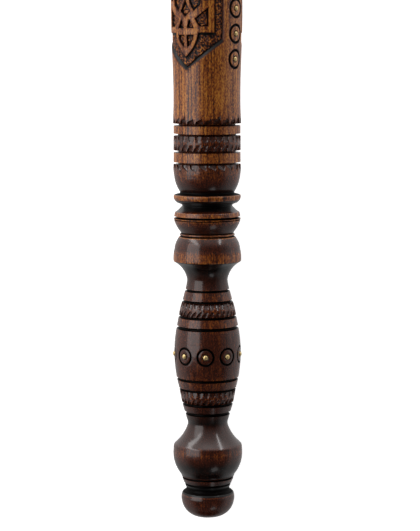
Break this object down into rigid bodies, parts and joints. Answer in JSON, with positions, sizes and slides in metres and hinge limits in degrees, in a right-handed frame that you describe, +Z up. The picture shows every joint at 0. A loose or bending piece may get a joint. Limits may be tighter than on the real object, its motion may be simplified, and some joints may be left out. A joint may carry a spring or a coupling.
{
  "type": "ceremonial mace",
  "caption": "Hetman's mace of turned and carved dark walnut with small brass nails: ringed grip, shaft with sunk shields, round head. It lies on its side.",
  "frame": {"origin": "on the floor, under the middle of the lying mace's bounding box", "axes": "+X from the foot end to the head, +Z up; the mace's own axis rises 3.2 degrees towards the head"},
  "size_m": [0.5996, 0.1, 0.0988],
  "materials": {
    "walnut": "turned and carved walnut, stained dark, glossy varnish",
    "brass": "polished"
  },
  "bodies": {
    "root": {"mace_body": "walnut", "brass_nail_01": "brass", "brass_nail_02": "brass", "brass_nail_03": "brass", "brass_nail_04": "brass", "brass_nail_05": "brass", "brass_nail_06": "brass", "brass_nail_07": "brass", "brass_nail_08": "brass", "brass_nail_09": "brass", "brass_nail_10": "brass", "brass_nail_11": "brass", "brass_nail_12": "brass", "brass_nail_13": "brass", "brass_nail_14": "brass", "brass_nail_15": "brass", "brass_nail_16": "brass", "brass_nail_17": "brass", "brass_nail_18": "brass", "brass_nail_19": "brass", "brass_nail_20": "brass", "brass_nail_21": "brass", "brass_nail_22": "brass", "brass_nail_23": "brass", "brass_nail_24": "brass", "brass_nail_25": "brass", "brass_nail_26": "brass", "brass_nail_27": "brass"}
  },
  "joints": []
}
